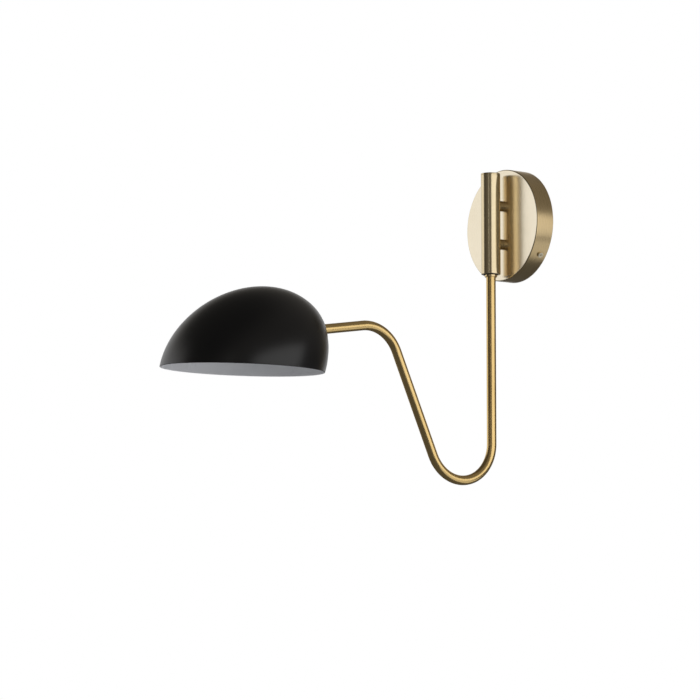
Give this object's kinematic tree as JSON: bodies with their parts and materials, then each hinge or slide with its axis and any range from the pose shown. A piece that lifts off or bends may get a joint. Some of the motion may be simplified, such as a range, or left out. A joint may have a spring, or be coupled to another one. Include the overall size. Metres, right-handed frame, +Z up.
{
  "type": "swing-arm wall light",
  "caption": "Wall light with a round plate, an upright barrel, a bent tube arm that swings in it, and a dome shade that turns on the arm's end.",
  "frame": {"origin": "centre of the wall plate's back face, midway between the two mounting slots", "axes": "+Y into the wall, -Y out of it towards the room, +Z up, +X to the right as seen from the room"},
  "size_m": [0.1571, 0.4069, 0.314],
  "materials": {
    "brass": "satin",
    "screw_steel": "satin",
    "shade_paint": "satin black outside, matte white inside",
    "rim_screw": "satin",
    "nylon": "matte",
    "block_nylon": "matte",
    "grommet_rubber": "matte",
    "lead_cover": "semi gloss",
    "ground_cover": "semi gloss",
    "holder_ceramic": "matte",
    "lamp_glass": "clear",
    "lamp_core": "matte yellow"
  },
  "bodies": {
    "root": {"mounting_plate": "screw_steel", "wall_plate": "brass", "plate_side_screws": "rim_screw", "upper_standoff": "brass", "lower_standoff": "brass", "lead_nipple": "screw_steel", "nipple_nut": "screw_steel", "nipple_washer": "screw_steel", "standoff_screw": "screw_steel", "standoff_screw_washer": "screw_steel", "barrel": "brass", "barrel_cap": "brass", "lower_bush": "nylon", "upper_bush": "nylon", "terminal_block": "block_nylon", "terminal_screws": "screw_steel", "block_screw": "screw_steel", "ground_screw": "screw_steel", "ground_lead": "ground_cover", "supply_leads": "lead_cover", "lead_grommet": "grommet_rubber"},
    "arm": {"arm_tube": "brass", "arm_collar": "brass", "swing_wave_washer": "screw_steel", "ring_nut": "screw_steel", "swing_stop_pin": "screw_steel", "arm_leads": "lead_cover", "arm_end_nuts": "screw_steel", "shade_wave_washer": "screw_steel", "shade_flat_washer": "screw_steel", "shade_stop_pin": "screw_steel", "holder_bracket": "screw_steel", "holder_screw": "screw_steel", "lamp_holder": "holder_ceramic", "lamp_pins": "screw_steel", "lamp_base": "holder_ceramic", "lamp_core": "lamp_core", "lamp_bulb": "lamp_glass"},
    "shade": {"shade_shell": "shade_paint", "shade_bracket": "screw_steel"}
  },
  "joints": [
    {"name": "arm_swing", "type": "hinge", "parent": "root", "child": "arm", "pos_m": [0, -0.034, 0], "axis": [0, 0, 1], "range_deg": [-75, 75]},
    {"name": "shade_turn", "type": "hinge", "parent": "arm", "child": "shade", "pos_m": [0, -0.191, -0.11307], "axis": [0, -0.9877, -0.1564], "range_deg": [-56.6, 63.4]}
  ]
}
